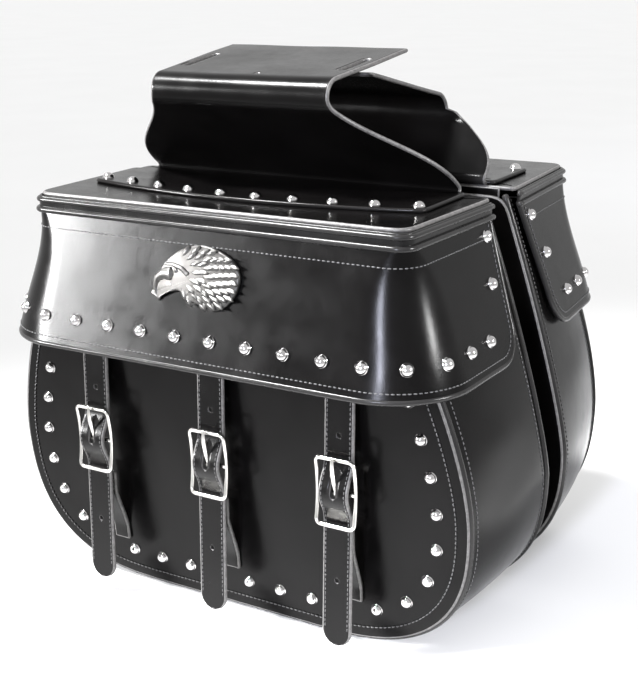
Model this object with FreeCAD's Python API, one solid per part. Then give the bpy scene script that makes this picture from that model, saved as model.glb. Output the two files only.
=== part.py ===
import FreeCAD, Part
import math
import os

# A pair of leather throw-over saddlebags joined by a two-piece yoke. Millimetres, +Z up.
# The bags stand back to back on the floor: X runs along their length, the left bag is on
# the -Y side, and the right bag is its mirror image on the +Y side. The origin is on the
# floor, midway between the two bags.

V = FreeCAD.Vector

# ---- driving dimensions ----------------------------------------------------------------
LEATHER = 3.0            # thickness of panels, lid and yoke
BACK_Y = -16.0           # outer face of the left bag's back panel
WELT_OUT = 2.5           # how far the sewn welts stand out past the panels
WELT_DEEP = 4.0          # width of a welt along Y

FRONT_BOTTOM_Y = -120.0  # outer face of the front panel at the floor
FRONT_LEAN = 0.08        # forward lean of the front panel, mm per mm of height
FLAT_HALF = 70.0         # half length of the flat stretch the bag stands on
WIDEST_Z = 108.0         # height at which the panels are widest
CORNER_POWER = 2.6       # how square the lower corners are

FRONT_HALF, FRONT_TOP_HALF, FRONT_TOP_Z, FRONT_POWER = 185.0, 131.0, 268.0, 1.6
BACK_HALF, BACK_TOP_HALF, BACK_TOP_Z, BACK_POWER = 197.0, 144.5, 294.0, 1.25

LID_TOP_Z = 300.0
LID_REAR_Y = -22.0
LID_FRONT_Y = -142.0
LID_REAR_HALF = 151.0
LID_FRONT_HALF = 145.0
LID_CORNER_R = 9.0
BAND_BOTTOM_Z = 289.0    # lower edge of the band that joins lid top and skirt
BAND_OUT = 3.0
HEM_Z = 197.0
# flare of the skirt: height, outward on the sides, outward at the front, corner radius
SKIRT = [(289.0, 1.5, 1.0, 10.0), (232.0, 20.5, 16.5, 44.0), (205.0, 29.5, 24.5, 52.0),
         (HEM_Z, 32.0, 27.0, 56.0)]
SKIRT_REAR_TOP_Y, SKIRT_REAR_LOW_Y, SKIRT_REAR_R = -26.0, -38.0, 26.0

STUD_R = 5.0             # sphere radius of a dome stud
STUD_FROM = 30.0         # latitude at which the dome is cut off, degrees
STUD_PITCH = 28.0
STUD_ROW_Z = 217.0
STUD_GAP = 0.4          # clearance under a dome, for the curve of the leather
PANEL_STUD_INSET = 22.0
PANEL_STUD_COUNT = 24
PANEL_STUD_TOP_Z = 190.0

STRAP_X = {"front": -100.0, "middle": 0.0, "rear": 100.0}
STRAP_WIDE = 22.0
STRAP_TOP_Z = 191.0      # just below the hem, where the strap bends
STRAP_TIP_Z = 12.0
STRAP_TIP_Y = -149.0     # middle of the strap's thickness at its tip
STRAP_LEAN = -0.036      # forward lean of the strap, mm per mm of height
STRAP_SLOT = (5.0, 20.0)  # wide and tall, for the prong
STRAP_HOLE_R, STRAP_HOLES_Z = 1.8, (162.0, 60.0)
STRAP_SEWN_Z = (262.0, 254.0)   # where its sewn end lies on the inside of the skirt
STRAP_BEND_Z = 197.5     # lower end of the sewn piece
BUCKLE_Z = 124.0         # centre bar
BUCKLE_HALF_TALL = 23.5
BUCKLE_HALF_WIDE = 14.0
BUCKLE_WIRE_R = 1.8
BUCKLE_BAR_R = 1.6
BUCKLE_END_Y = -150.4    # end bars, in front of the strap
BUCKLE_BAR_Y = -148.0    # centre bar, behind the strap
STRAP_BULGE = 6.5        # how far the strap rises over the centre bar
STRAP_BULGE_HALF = 22.0
PRONG_WIDE = 3.0
SNAP_Z = 84.0
SNAP_R = 6.5
SNAP_THICK = 3.0
SNAP_GAP = 0.5           # between the two halves of a snap
BILLET_WIDE = 14.0

TAB_HALF = 134.0
TAB_FRONT_Y = -113.0
ROW_BOW = 20.0           # how far the row of rivets falls back at its ends
RIVET_INSET = 10.0
RIVET_COUNT = 10
YOKE_HALF_BASE = 128.0
YOKE_SLOT = (60.0, 8.0, 46.0, -50.0)   # x, width, length, y centre of the lacing slots
# the two halves of the yoke: the corners of the side profile, the radii that round them,
# and the half widths at the crown and at the free end
LEFT_YOKE = dict(path=[(-17.5, 294.0), (-17.5, 304.5), (-119.0, 377.5), (6.0, 393.0)], radii=[5.0, 11.0],
                 crown_z=370.0, crown_half=70.0, end_half=74.0)
RIGHT_YOKE = dict(path=[(17.5, 294.0), (17.5, 304.5), (84.0, 352.5), (-32.0, 379.0)], radii=[5.0, 13.0],
                  crown_z=356.0, crown_half=78.0, end_half=66.0)


# ---- helpers ---------------------------------------------------------------------------
def save(shape, name):
    """Write one node, and stop on a shape that isn't sound."""
    if not shape.isValid():
        raise ValueError(name + " is not a valid shape")
    shape.exportStep("parts/" + name + ".step")


def mirrored(shape):
    return shape.mirror(V(0, 0, 0), V(0, 1, 0))


def spline(points):
    curve = Part.BSplineCurve()
    curve.interpolate([V(*p) for p in points])
    return curve.toShape()


def line(a, b):
    return Part.makeLine(V(*a), V(*b))


def front_y(z):
    """Outer face of the leaning front panel at height z."""
    return FRONT_BOTTOM_Y - FRONT_LEAN * z


# ---- panel outlines --------------------------------------------------------------------
def half_width(z, half, top_half, top_z, power):
    """Half length of a panel above its widest height."""
    u = min(max((z - WIDEST_Z) / (top_z - WIDEST_Z), 0.0), 1.0)
    return half - (half - top_half) * u ** power


def right_side(kind, inset, above):
    """Points (x, z) up one side of a panel, inset from the edge and carried above the top."""
    half, top_half, top_z, power = kind
    low, reach = WELT_OUT + inset, half - inset - FLAT_HALF
    rise = WIDEST_Z - low
    points = []
    for i in range(15):
        a = math.radians(90.0 * i / 14)
        x = FLAT_HALF + reach * math.sin(a) ** (2.0 / CORNER_POWER)
        z = low + rise * (1.0 - math.cos(a) ** (2.0 / CORNER_POWER))
        points.append((x, z))
    for i in range(1, 9):
        z = WIDEST_Z + (top_z - WIDEST_Z) * i / 8
        points.append((half_width(z, half, top_half, top_z, power) - inset, z))
    if above:
        points.append((top_half - inset, top_z + above))
    return points


def panel_wire(kind, inset, place, above=0.0):
    """Closed outline of a panel; place turns (x, z) into a point of its plane."""
    side = right_side(kind, inset, above)
    right = spline([place(x, z) for x, z in side])
    left = spline([place(-x, z) for x, z in reversed(side)])
    (x0, z0), (x1, z1) = side[0], side[-1]
    base = line(place(-x0, z0), place(x0, z0))
    top = line(place(x1, z1), place(-x1, z1))
    return Part.Wire([base, right, top, left])


FRONT = (FRONT_HALF, FRONT_TOP_HALF, FRONT_TOP_Z, FRONT_POWER)
BACK = (BACK_HALF, BACK_TOP_HALF, BACK_TOP_Z, BACK_POWER)


def front_plane(depth):
    """A plane parallel to the front panel's outer face, depth behind it."""
    return lambda x, z: (x, front_y(z) + depth, z)


def back_plane(y):
    return lambda x, z: (x, y, z)


def plate(wire, deep):
    return Part.Face(wire).extrude(V(0, deep, 0))


# ---- one bag's box ---------------------------------------------------------------------
def back_panel():
    return plate(panel_wire(BACK, 0.0, back_plane(BACK_Y - LEATHER)), LEATHER)


def front_panel():
    return plate(panel_wire(FRONT, 0.0, front_plane(0.0)), LEATHER)


def welt(kind, place):
    """A bead sewn into the seam between a panel and the gusset."""
    outer = plate(panel_wire(kind, -WELT_OUT, place), WELT_DEEP)
    inner = plate(panel_wire(kind, LEATHER, place, 8.0), WELT_DEEP)
    top_z = kind[2]
    lid_side = Part.makeBox(600, 600, 40, V(-300, -400, top_z))
    return outer.cut(inner).cut(lid_side)


def front_welt():
    return welt(FRONT, front_plane(LEATHER))


def back_welt():
    return welt(BACK, back_plane(BACK_Y - LEATHER - WELT_DEEP))


def gusset():
    """The band that forms the bottom and both ends of the box."""
    front = front_plane(LEATHER + WELT_DEEP)
    back = back_plane(BACK_Y - LEATHER - WELT_DEEP)
    outer = Part.makeLoft([panel_wire(FRONT, 0.0, front), panel_wire(BACK, 0.0, back)], True, True)
    inner = Part.makeLoft([panel_wire(FRONT, LEATHER, front, 12.0), panel_wire(BACK, LEATHER, back, 12.0)],
                          True, True)
    return outer.cut(inner)


def hinge_strip():
    """The strip that hinges the lid, sewn inside the top of the back panel."""
    long, thick, low = 2 * (BACK_TOP_HALF - 5.0), 2.5, BACK_TOP_Z - 32.0
    return Part.makeBox(long, thick, BACK_TOP_Z - low, V(-long / 2, BACK_Y - LEATHER - thick, low))


# ---- studs -----------------------------------------------------------------------------
def dome(point, normal):
    return Part.makeSphere(STUD_R, point - normal * (STUD_R * math.sin(math.radians(STUD_FROM)) - STUD_GAP),
                           normal, STUD_FROM, 90, 360)


def evenly(points, count):
    """Count points at equal steps along a line of points, both ends included."""
    steps = [(b - a).Length for a, b in zip(points, points[1:])]
    total, out = sum(steps), []
    for i in range(count):
        left = total * i / (count - 1)
        k = 0
        while k < len(steps) - 1 and left > steps[k]:
            left -= steps[k]
            k += 1
        out.append(points[k] + (points[k + 1] - points[k]) * (left / steps[k]))
    return out


def panel_studs():
    """A row of domes down one side of the front panel, along the bottom and up the other."""
    side = [(x, z) for x, z in right_side(FRONT, PANEL_STUD_INSET, 0.0) if z < PANEL_STUD_TOP_Z]
    x_top = half_width(PANEL_STUD_TOP_Z, *FRONT) - PANEL_STUD_INSET
    side.append((x_top, PANEL_STUD_TOP_Z))
    row = [V(-x, 0, z) for x, z in reversed(side)] + [V(x, 0, z) for x, z in side]
    normal = V(0, -1, -FRONT_LEAN).normalize()
    domes = []
    for p in evenly(row, PANEL_STUD_COUNT):
        domes.append(dome(V(p.x, front_y(p.z), p.z), normal))
    return Part.makeCompound(domes)


# ---- lid -------------------------------------------------------------------------------
def lid_half(y, out):
    """Half length of the lid at y, moved outward."""
    t = (y - LID_REAR_Y) / (LID_FRONT_Y - LID_REAR_Y)
    return LID_REAR_HALF + (LID_FRONT_HALF - LID_REAR_HALF) * t + out


def lid_corner(out_x, out_y, radius):
    """Right front corner: end of the straight side, middle of the round, start of the front."""
    front = LID_FRONT_Y - out_y
    side = lid_half(front, out_x)
    slope = math.atan((LID_REAR_HALF - LID_FRONT_HALF) / (LID_REAR_Y - LID_FRONT_Y))
    turn = math.pi / 2 + slope
    reach = radius * math.tan((math.pi - turn) / 2)
    corner = V(side, front, 0)
    along = V(math.sin(slope), math.cos(slope), 0)
    a = corner + along * reach
    b = corner + V(-reach, 0, 0)
    centre = b + V(0, radius, 0)
    mid = centre + (corner - centre).normalize() * radius
    return a, mid, b


def lid_path(out_x, out_y, radius, rear_y, z):
    """Edges from the left rear round the front to the right rear, at height z."""
    a, mid, b = lid_corner(out_x, out_y, radius)
    rear = V(lid_half(rear_y, out_x), rear_y, 0)
    up = V(0, 0, z)
    flip = lambda p: V(-p.x, p.y, p.z)
    return [
        Part.makeLine(flip(rear) + up, flip(a) + up),
        Part.Arc(flip(a) + up, flip(mid) + up, flip(b) + up).toShape(),
        Part.makeLine(flip(b) + up, b + up),
        Part.Arc(b + up, mid + up, a + up).toShape(),
        Part.makeLine(a + up, rear + up),
    ]


def ends(edges):
    return edges[0].Vertexes[0].Point, edges[-1].Vertexes[-1].Point


def closed(edges):
    first, last = ends(edges)
    return Part.Wire(edges + [Part.makeLine(last, first)])


def ring(out_x, out_y, radius, z):
    """A U-shaped outline one leather thick, open at the rear."""
    outer = lid_path(out_x, out_y, radius, LID_REAR_Y, z)
    inner = lid_path(out_x - LEATHER, out_y - LEATHER, radius - LEATHER, LID_REAR_Y, z)
    (a0, a1), (b0, b1) = ends(outer), ends(inner)
    return Part.Wire(outer + [Part.makeLine(a1, b1)] + [e for e in reversed(inner)] + [Part.makeLine(b0, a0)])


def lid_top():
    wire = closed(lid_path(0.0, 0.0, LID_CORNER_R, LID_REAR_Y, LID_TOP_Z - LEATHER))
    return Part.Face(wire).extrude(V(0, 0, LEATHER))


def lid_band():
    """The sewn band under the edge of the lid top."""
    tall = LID_TOP_Z - LEATHER - BAND_BOTTOM_Z
    outer = closed(lid_path(BAND_OUT, BAND_OUT, LID_CORNER_R + BAND_OUT, LID_REAR_Y, BAND_BOTTOM_Z))
    inner = closed(lid_path(-1.0, -1.0, LID_CORNER_R - 1.0, LID_REAR_Y + 1, BAND_BOTTOM_Z))
    band = Part.Face(outer).extrude(V(0, 0, tall)).cut(Part.Face(inner).extrude(V(0, 0, tall)))
    return band.cut(Part.makeBox(600, 60, 40, V(-300, SKIRT_REAR_TOP_Y, BAND_BOTTOM_Z - 10)))


def skirt_side_view():
    """What stays of the skirt seen from the side: its lower rear corners are round."""
    r = SKIRT_REAR_R
    low, rear = HEM_Z, SKIRT_REAR_LOW_Y
    c = V(-300, rear - r, low + r)
    q = r * math.sqrt(0.5)
    wire = Part.Wire([
        line((-300, -260, low - 5), (-300, -260, 300)),
        line((-300, -260, 300), (-300, SKIRT_REAR_TOP_Y, 300)),
        line((-300, SKIRT_REAR_TOP_Y, 300), (-300, rear, low + r)),
        Part.Arc(V(-300, rear, low + r), c + V(0, q, -q), V(-300, rear - r, low)).toShape(),
        line((-300, rear - r, low), (-300, rear - r, low - 5)),
        line((-300, rear - r, low - 5), (-300, -260, low - 5)),
    ])
    return Part.Face(wire).extrude(V(600, 0, 0))


def lid_skirt():
    rings = [ring(out_x, out_y, r, z) for z, out_x, out_y, r in SKIRT]
    spans = [Part.makeLoft([a, b], True, True) for a, b in zip(rings, rings[1:])]
    whole = spans[0].fuse(spans[1:])
    return whole.common(skirt_side_view()).removeSplitter()


def skirt_at(z):
    """Flare of the skirt at height z, and how fast it flares at the front and sides."""
    for (z1, x1, y1, r1), (z0, x0, y0, r0) in zip(SKIRT, SKIRT[1:]):
        if z0 <= z <= z1:
            t = (z - z0) / (z1 - z0)
            mix = lambda lo, hi: lo + (hi - lo) * t
            return mix(x0, x1), mix(y0, y1), mix(r0, r1), (x0 - x1) / (z1 - z0), (y0 - y1) / (z1 - z0)
    raise ValueError("height is off the skirt")


def skirt_point(s, z):
    """Point and outward normal on the skirt, s along it from the middle of the front."""
    out_x, out_y, r, rate_x, rate_y = skirt_at(z)
    a, mid, b = lid_corner(out_x, out_y, r)
    centre = b + V(0, r, 0)
    side, far = (1.0 if s >= 0 else -1.0), abs(s)
    arc = r * math.acos(max(-1.0, min(1.0, (b - centre).dot(a - centre) / (r * r))))
    if far <= b.x:
        p, n, rate = V(far, b.y, z), V(0, -1, 0), rate_y
    elif far <= b.x + arc:
        t = (far - b.x) / r
        n = V(math.sin(t), -math.cos(t), 0)
        p = V(centre.x, centre.y, z) + n * r
        rate = rate_y + (rate_x - rate_y) * (far - b.x) / arc
    else:
        n = (a - centre).normalize()
        p = V(a.x, a.y, z) + V(-n.y, n.x, 0) * (far - b.x - arc)
        rate = rate_x
    normal = (n + V(0, 0, rate)).normalize()
    return V(p.x * side, p.y, z), V(normal.x * side, normal.y, normal.z)


def lid_studs():
    """Domes along the hem from end to end, and two up each rear edge."""
    domes = []
    for k in range(9):
        for side in (-1, 1):
            domes.append(dome(*skirt_point(side * STUD_PITCH * (k + 0.5), STUD_ROW_Z)))
    rear_s = 248.0
    for z in (249.0, 278.0):
        for side in (-1, 1):
            domes.append(dome(*skirt_point(side * rear_s, z)))
    return Part.makeCompound(domes)


def emblem():
    """A raptor's head in profile, facing the front of the motorcycle."""
    outline = [(-33, -6), (-29, -19), (-22, -13), (-12, -12), (-8, -17), (4, -19), (22, -18), (31, -8),
               (32, 4), (26, 13), (14, 19), (-2, 21), (-16, 17), (-25, 8)]
    mid_z, thick = 255.0, 3.0
    point, normal = skirt_point(0.0, mid_z)
    up = V(1, 0, 0).cross(normal).normalize()
    if up.z < 0:
        up = up * -1
    base = point + normal * STUD_GAP
    points = [base + V(x, 0, 0) + up * z for x, z in outline]
    return Part.Face(Part.makePolygon(points + points[:1])).extrude(normal * thick)


# ---- straps, buckles and snaps ---------------------------------------------------------
def ribbon(centre, x, wide):
    """A strap of leather: centre holds (y, z) points along the middle of its thickness."""
    sides = []
    for sign in (-0.5, 0.5):
        side = []
        for i, (y, z) in enumerate(centre):
            (ya, za), (yb, zb) = centre[max(i - 1, 0)], centre[min(i + 1, len(centre) - 1)]
            off = sign * LEATHER / math.hypot(yb - ya, zb - za)
            side.append((x - wide / 2, y - off * (zb - za), z + off * (yb - ya)))
        sides.append(side)
    near, far = sides
    wire = Part.Wire([spline(near), line(near[-1], far[-1]), spline(far[::-1]), line(far[0], near[0])])
    return Part.Face(wire).extrude(V(wide, 0, 0))


def strap_y(z):
    """Middle of the strap's thickness at height z, without the bulge at the buckle."""
    return STRAP_TIP_Y - STRAP_LEAN * (z - STRAP_TIP_Z)


def strap(x):
    """Hangs from the hem, passes behind the end bars and over the centre bar of its buckle."""
    centre, steps = [], 36
    for i in range(steps + 1):
        z = STRAP_TOP_Z + (STRAP_TIP_Z - STRAP_TOP_Z) * i / steps
        u = (z - BUCKLE_Z) / STRAP_BULGE_HALF
        rise = STRAP_BULGE * math.cos(math.pi * u / 2) ** 2 if abs(u) < 1 else 0.0
        centre.append((strap_y(z) - rise, z))
    body = ribbon(centre, x, STRAP_WIDE)
    r = STRAP_WIDE / 2
    front_view = Part.makeBox(STRAP_WIDE, 60, 200, V(x - r, -190, STRAP_TIP_Z + r))
    front_view = front_view.fuse(Part.makeCylinder(r, 60, V(x, -190, STRAP_TIP_Z + r), V(0, 1, 0)))
    wide, tall = STRAP_SLOT
    cuts = [Part.makeBox(wide, 50, tall, V(x - wide / 2, -180, BUCKLE_Z - 3.5))]
    cuts += [Part.makeCylinder(STRAP_HOLE_R, 50, V(x, -180, z), V(0, 1, 0)) for z in STRAP_HOLES_Z]
    return body.common(front_view).cut(cuts).removeSplitter()


def bar(a, b, r):
    return Part.makeCylinder(r, (V(*b) - V(*a)).Length, V(*a), V(*b) - V(*a))


def buckle(x):
    """Rectangular wire frame with a centre bar: bowed, so that its ends stand forward."""
    w, r = BUCKLE_HALF_WIDE, BUCKLE_WIRE_R
    top, low = BUCKLE_Z + BUCKLE_HALF_TALL, BUCKLE_Z - BUCKLE_HALF_TALL
    pieces = [bar((x - w, BUCKLE_BAR_Y, BUCKLE_Z), (x + w, BUCKLE_BAR_Y, BUCKLE_Z), BUCKLE_BAR_R)]
    for z in (top, low):
        pieces.append(bar((x - w, BUCKLE_END_Y, z), (x + w, BUCKLE_END_Y, z), r))
    for side in (-1, 1):
        edge = Part.Arc(V(x + side * w, BUCKLE_END_Y, top), V(x + side * w, BUCKLE_BAR_Y, BUCKLE_Z),
                        V(x + side * w, BUCKLE_END_Y, low)).toShape()
        tangent = edge.tangentAt(edge.FirstParameter)
        profile = Part.Wire([Part.makeCircle(r, V(x + side * w, BUCKLE_END_Y, top), tangent)])
        pieces.append(Part.Wire([edge]).makePipeShell([profile], True, True))
        for z in (top, low):
            pieces.append(Part.makeSphere(r, V(x + side * w, BUCKLE_END_Y, z)))
    return pieces[0].fuse(pieces[1:])


def prong(x):
    """Turns on the centre bar, passes through the strap and rests on the top bar."""
    eye_out, eye_in = 3.3, BUCKLE_BAR_R + 0.15
    left = x - PRONG_WIDE / 2
    eye = Part.makeCylinder(eye_out, PRONG_WIDE, V(left, BUCKLE_BAR_Y, BUCKLE_Z), V(1, 0, 0))
    hole = Part.makeCylinder(eye_in, PRONG_WIDE, V(left, BUCKLE_BAR_Y, BUCKLE_Z), V(1, 0, 0))
    rest = BUCKLE_END_Y - BUCKLE_WIRE_R - 0.4
    top = BUCKLE_Z + BUCKLE_HALF_TALL + 2.5
    side = [(BUCKLE_BAR_Y - 2.6, BUCKLE_Z + 1.0), (rest, top - 8.0), (rest, top),
            (rest - 2.2, top), (rest - 2.2, top - 8.5), (BUCKLE_BAR_Y - 3.1, BUCKLE_Z - 1.0)]
    points = [V(left, y, z) for y, z in side]
    blade = Part.Face(Part.makePolygon(points + points[:1])).extrude(V(PRONG_WIDE, 0, 0))
    return eye.fuse(blade).cut(hole)


def snap_axis():
    """Middle of the strap's back face at the snap, and the direction towards the bag."""
    towards = V(0, 1, STRAP_LEAN).normalize()
    return V(0, strap_y(SNAP_Z), SNAP_Z) + towards * (LEATHER / 2 + 0.05), towards


def snap_cap(x):
    """The hidden half of the snap, on the back of the strap below its buckle."""
    face, towards = snap_axis()
    return Part.makeCylinder(SNAP_R, SNAP_THICK, face + V(x, 0, 0), towards)


def snap_bases():
    """The other halves of the snaps, on the billets."""
    face, towards = snap_axis()
    start = face + towards * (SNAP_THICK + SNAP_GAP)
    return Part.makeCompound([Part.makeCylinder(SNAP_R, SNAP_THICK, start + V(x, 0, 0), towards)
                              for x in STRAP_X.values()])


def billets():
    """Short tongues sewn to the front panel, which carry the lower halves of the snaps."""
    face, towards = snap_axis()
    head = face + towards * (2 * SNAP_THICK + SNAP_GAP + LEATHER / 2 + 0.2)
    rise = V(0, -towards.z, towards.y)
    centre = [(front_y(z) - LEATHER / 2 - 0.15, z) for z in (34.0, 40.0, 46.0)]
    centre += [(front_y(58.0) - 5.0, 58.0)]
    for step in (-10.0, -7.0, -4.0, 0.0, 4.0, 8.0, 11.0):
        p = head + rise * step
        centre.append((p.y, p.z))
    return Part.makeCompound([ribbon(centre, x, BILLET_WIDE) for x in STRAP_X.values()])


def strap_tabs():
    """The sewn ends of the straps, inside the skirt, that carry them at the hem."""
    centre = [(LID_FRONT_Y - skirt_at(z)[1] + LEATHER * 1.5 + 0.7, z) for z in STRAP_SEWN_Z]
    (ya, za), (yb, zb) = centre[-1], (strap_y(STRAP_BEND_Z), STRAP_BEND_Z)
    centre += [(ya + (yb - ya) * t, za + (zb - za) * t) for t in (0.35, 0.7, 1.0)]
    return Part.makeCompound([ribbon(centre, x, STRAP_WIDE) for x in STRAP_X.values()])


# ---- yoke ------------------------------------------------------------------------------
def row_y(x, y):
    """A line across the lid that bows forward by ROW_BOW in the middle."""
    return y + ROW_BOW * (x / TAB_HALF) ** 2


def yoke_tab():
    """The end of a yoke half that is riveted down on the lid."""
    t, half = LID_TOP_Z, TAB_HALF
    front_left, front_right = (-half, row_y(half, TAB_FRONT_Y), t), (half, row_y(half, TAB_FRONT_Y), t)
    bow = Part.Arc(V(*front_right), V(0, TAB_FRONT_Y, t), V(*front_left)).toShape()
    rear = LID_REAR_Y - 2.0
    wire = Part.Wire([
        line((-half, rear, t), (half, rear, t)),
        line((half, rear, t), front_right),
        bow,
        line(front_left, (-half, rear, t)),
    ])
    return Part.Face(wire).extrude(V(0, 0, LEATHER))


def lid_rivets():
    domes, top = [], LID_TOP_Z + LEATHER - STUD_GAP
    for i in range(RIVET_COUNT):
        x = STUD_PITCH * (i - (RIVET_COUNT - 1) / 2)
        domes.append(dome(V(x, row_y(x, TAB_FRONT_Y + RIVET_INSET), top), V(0, 0, 1)))
    return Part.makeCompound(domes)


def rounded_path(corners, radii):
    """Points (y, z) and directions along straight runs joined by arcs."""
    stops = []
    here = V(0, *corners[0])
    for i, r in enumerate(radii):
        before, at, after = V(0, *corners[i]), V(0, *corners[i + 1]), V(0, *corners[i + 2])
        u, w = (at - before).normalize(), (after - at).normalize()
        turn = math.acos(max(-1.0, min(1.0, u.dot(w))))
        cut = r * math.tan(turn / 2)
        start = at - u * cut
        across = (w - u * u.dot(w)).normalize()
        centre = start + across * r
        for k in range(4):
            stops.append((here + (start - here) * (k / 4.0), u))
        steps = 8
        for k in range(steps):
            t = turn * k / steps
            p = centre + (u * math.sin(t) - across * math.cos(t)) * r
            stops.append((p, u * math.cos(t) + across * math.sin(t)))
        here = at + w * cut
        last = w
    end = V(0, *corners[-1])
    for k in range(5):
        stops.append((here + (end - here) * (k / 4.0), last))
    return stops


def yoke_half_width(z, past_crown, run, shape):
    """Narrows from the lid to the crown, then widens a little to the free end."""
    if past_crown:
        return shape["crown_half"] + (shape["end_half"] - shape["crown_half"]) * run
    u = min(max((z - LID_TOP_Z - 5.0) / (shape["crown_z"] - LID_TOP_Z - 5.0), 0.0), 1.0)
    fall = ((1 - math.cos(math.pi * u)) / 2) ** 1.25
    return YOKE_HALF_BASE - (YOKE_HALF_BASE - shape["crown_half"]) * fall


def yoke_arch(shape):
    """The free part of a yoke half: it rises behind the lid, leans out and folds back."""
    stops = rounded_path(shape["path"], shape["radii"])
    crown = max(range(len(stops)), key=lambda i: abs(stops[i][0].y))
    sections = []
    for i, (p, along) in enumerate(stops):
        run = (i - crown) / (len(stops) - 1.0 - crown) if i > crown else 0.0
        w = yoke_half_width(p.z, i > crown, run, shape)
        off = V(0, -along.z, along.y) * (LEATHER / 2)
        quad = [p + off + V(-w, 0, 0), p + off + V(w, 0, 0), p - off + V(w, 0, 0), p - off + V(-w, 0, 0)]
        sections.append(Part.makePolygon(quad + quad[:1]))
    return Part.makeLoft(sections, True, True)


def left_yoke_arch():
    x, wide, long, mid = YOKE_SLOT
    body = yoke_arch(LEFT_YOKE)
    for side in (-1, 1):
        slot = Part.makeBox(wide, long, 60, V(side * x - wide / 2, mid - long / 2, 376))
        body = body.cut(slot)
    return body


# ---- assembly --------------------------------------------------------------------------
BAG = {
    "back_panel": back_panel, "front_panel": front_panel, "gusset": gusset, "front_welt": front_welt,
    "back_welt": back_welt, "hinge_strip": hinge_strip, "panel_studs": panel_studs, "billets": billets,
    "snap_bases": snap_bases,
    "lid_top": lid_top, "lid_band": lid_band, "lid_skirt": lid_skirt, "lid_studs": lid_studs,
    "lid_rivets": lid_rivets, "emblem": emblem, "strap_tabs": strap_tabs, "yoke_tab": yoke_tab,
}
FITTINGS = {"strap": strap, "buckle": buckle, "prong": prong, "snap_cap": snap_cap}


def main():
    os.makedirs("parts", exist_ok=True)
    for name, make in BAG.items():
        shape = make()
        save(shape, "left_" + name)
        save(mirrored(shape), "right_" + name)
    for place, x in STRAP_X.items():
        for name, make in FITTINGS.items():
            shape = make(x)
            save(shape, "left_" + place + "_" + name)
            save(mirrored(shape), "right_" + place + "_" + name)
    save(left_yoke_arch(), "left_yoke_arch")
    save(yoke_arch(RIGHT_YOKE), "right_yoke_arch")


main()
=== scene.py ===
import math

import bmesh
import bpy
import numpy as np
from mathutils import Matrix, Vector, noise


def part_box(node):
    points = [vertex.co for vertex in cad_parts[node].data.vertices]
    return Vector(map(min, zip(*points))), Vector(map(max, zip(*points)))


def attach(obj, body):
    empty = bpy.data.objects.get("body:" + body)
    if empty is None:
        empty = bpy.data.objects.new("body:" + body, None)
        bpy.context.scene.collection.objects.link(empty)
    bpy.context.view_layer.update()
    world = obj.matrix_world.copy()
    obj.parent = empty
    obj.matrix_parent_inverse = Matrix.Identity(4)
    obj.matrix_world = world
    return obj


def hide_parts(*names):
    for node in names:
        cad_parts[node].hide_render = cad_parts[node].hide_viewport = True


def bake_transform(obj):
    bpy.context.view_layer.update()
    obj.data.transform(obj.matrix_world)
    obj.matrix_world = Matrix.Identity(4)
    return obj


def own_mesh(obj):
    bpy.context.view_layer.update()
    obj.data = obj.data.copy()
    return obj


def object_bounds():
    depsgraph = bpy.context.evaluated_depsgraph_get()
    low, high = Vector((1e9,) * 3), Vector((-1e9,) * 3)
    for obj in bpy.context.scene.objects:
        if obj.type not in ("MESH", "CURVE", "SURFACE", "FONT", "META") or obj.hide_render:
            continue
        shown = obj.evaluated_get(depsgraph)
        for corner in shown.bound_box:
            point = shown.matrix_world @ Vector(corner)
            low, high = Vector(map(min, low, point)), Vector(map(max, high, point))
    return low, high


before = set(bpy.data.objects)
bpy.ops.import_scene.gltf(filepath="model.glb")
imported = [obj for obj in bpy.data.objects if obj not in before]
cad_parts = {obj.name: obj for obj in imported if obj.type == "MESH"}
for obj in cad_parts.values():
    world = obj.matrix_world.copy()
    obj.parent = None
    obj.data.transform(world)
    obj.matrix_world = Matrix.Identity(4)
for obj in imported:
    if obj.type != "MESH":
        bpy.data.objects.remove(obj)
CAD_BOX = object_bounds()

# A pair of studded leather throw-over saddlebags. Shapes are worked out in millimetres for the
# left bag, on the -Y side, and mirrored for the right one. add_piece() turns them into metres.

MM = 0.001
SIDES = {"left": 1.0, "right": -1.0}     # factor on Y that turns the left bag into each side
PLACES = ("front", "middle", "rear")


def box_mm(node):
    low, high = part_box(node)
    return np.array(low) / MM, np.array(high) / MM


# ---- driving dimensions, from the frame where it holds them ------------------------------
BACK_LOW, BACK_HIGH = box_mm("left_back_panel")
FRONT_LOW, FRONT_HIGH = box_mm("left_front_panel")
LID_LOW, LID_HIGH = box_mm("left_lid_top")
SKIRT_LOW, SKIRT_HIGH = box_mm("left_lid_skirt")
TAB_LOW, TAB_HIGH = box_mm("left_yoke_tab")
LEATHER = BACK_HIGH[1] - BACK_LOW[1]
BACK_Y = BACK_HIGH[1]
WELT_OUT = BACK_LOW[2]   # height of the back panel's lowest edge over the floor
WELT_IN, WELT_R = 0.6, 2.4
PANEL_ROW_IN, HEM_ROW_IN, STRAP_ROW_IN = 9.0, 6.0, 2.6      # rows of stitches, in from each edge
CROWN_REACH, WAVE_LONG = 18.0, 55.0                         # how a panel's crown and waves run
HINGE_THICK, HINGE_BEND_Z = 2.0, (290.0, 299.0)
FRONT_LEAN = 0.08        # mm forward per mm of height
FRONT_FLOOR_Y = FRONT_LOW[1] + FRONT_LEAN * FRONT_HIGH[2]
FLAT_HALF, WIDEST_Z, CORNER_POWER = 70.0, 108.0, 2.6
FRONT = {"half": FRONT_HIGH[0], "top_half": 131.0, "top_z": FRONT_HIGH[2], "power": 1.6}
BACK = {"half": BACK_HIGH[0], "top_half": 144.5, "top_z": BACK_HIGH[2], "power": 1.25}

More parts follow.
